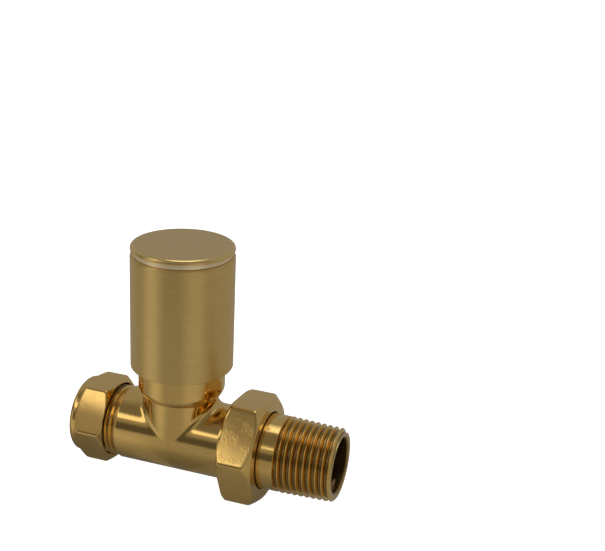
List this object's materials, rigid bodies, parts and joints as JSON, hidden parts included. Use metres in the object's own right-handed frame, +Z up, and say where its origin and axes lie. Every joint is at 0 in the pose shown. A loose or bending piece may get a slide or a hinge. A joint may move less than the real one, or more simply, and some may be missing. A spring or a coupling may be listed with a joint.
{
  "type": "lockshield valve",
  "caption": "Straight brass lockshield radiator valve with compression pipe inlet, union tail outlet and a cylindrical push-on cap over the spindle.",
  "frame": {"origin": "centre of the pipe's stop at the bottom of the compression socket, on the centre line of the pipe run", "axes": "+X along the run from the pipe towards the radiator tail, +Z up the spindle and cap, +Y to the back"},
  "size_m": [0.0799, 0.033, 0.0732],
  "materials": {
    "polished_brass": "polished, warm gold",
    "satin_brass": "satin, finely brushed round",
    "machined_brass": "plain machined",
    "black_rubber": "matte",
    "white_plastic": "moulded, matte",
    "steel": "plain bright"
  },
  "bodies": {
    "body": {"valve_body": "polished_brass", "shroud_cup": "polished_brass", "bonnet": "machined_brass", "bonnet_seal": "black_rubber"},
    "olive": {"compression_olive": "machined_brass"},
    "pipe_nut": {"compression_nut": "polished_brass"},
    "tail": {"union_tail": "polished_brass", "union_seal": "black_rubber"},
    "tail_nut": {"union_nut": "polished_brass"},
    "stem": {"spindle": "machined_brass", "spindle_seal_lower": "black_rubber", "spindle_seal_upper": "black_rubber", "thrust_washer": "white_plastic", "spindle_circlip": "steel"},
    "plug": {"valve_plug": "machined_brass", "plug_washer": "black_rubber", "plug_screw": "steel"},
    "grip_ring": {"cap_grip_ring": "white_plastic"},
    "cap": {"cap_sleeve": "satin_brass", "cap_band": "polished_brass", "cap_lid": "satin_brass", "cap_insert": "white_plastic"}
  },
  "joints": [
    {"name": "olive_slide", "type": "slide", "parent": "body", "child": "olive", "axis": [-1, 0, 0], "range_m": [0, 0.0045]},
    {"name": "pipe_nut_turn", "type": "hinge", "parent": "olive", "child": "pipe_nut", "pos_m": [-0.0156, 0, 0], "axis": [-1, 0, 0], "range_deg": [0, 1080]},
    {"name": "tail_slide", "type": "slide", "parent": "body", "child": "tail", "axis": [1, 0, 0], "range_m": [0, 0.00544]},
    {"name": "union_nut_turn", "type": "hinge", "parent": "tail", "child": "tail_nut", "pos_m": [0.0323, 0, 0], "axis": [1, 0, 0], "range_deg": [0, 1080]},
    {"name": "spindle_turn", "type": "hinge", "parent": "body", "child": "stem", "pos_m": [0.01, 0, 0.03], "axis": [0, 0, 1], "range_deg": [0, 900]},
    {"name": "plug_lift", "type": "slide", "parent": "body", "child": "plug", "axis": [0, 0, 1], "range_m": [0, 0.00375]},
    {"name": "cap_lift", "type": "slide", "parent": "body", "child": "grip_ring", "axis": [0, 0, 1], "range_m": [0, 0.04]},
    {"name": "cap_spin", "type": "hinge", "parent": "grip_ring", "child": "cap", "pos_m": [0.01, 0, 0.0295], "axis": [0, 0, 1], "continuous": true}
  ],
  "couplings": [
    {"joint": "olive_slide", "follows": "pipe_nut_turn", "m_per_rad": 0.00023873},
    {"joint": "tail_slide", "follows": "union_nut_turn", "m_per_rad": 0.00028871},
    {"joint": "plug_lift", "follows": "spindle_turn", "m_per_rad": 0.00023873}
  ]
}
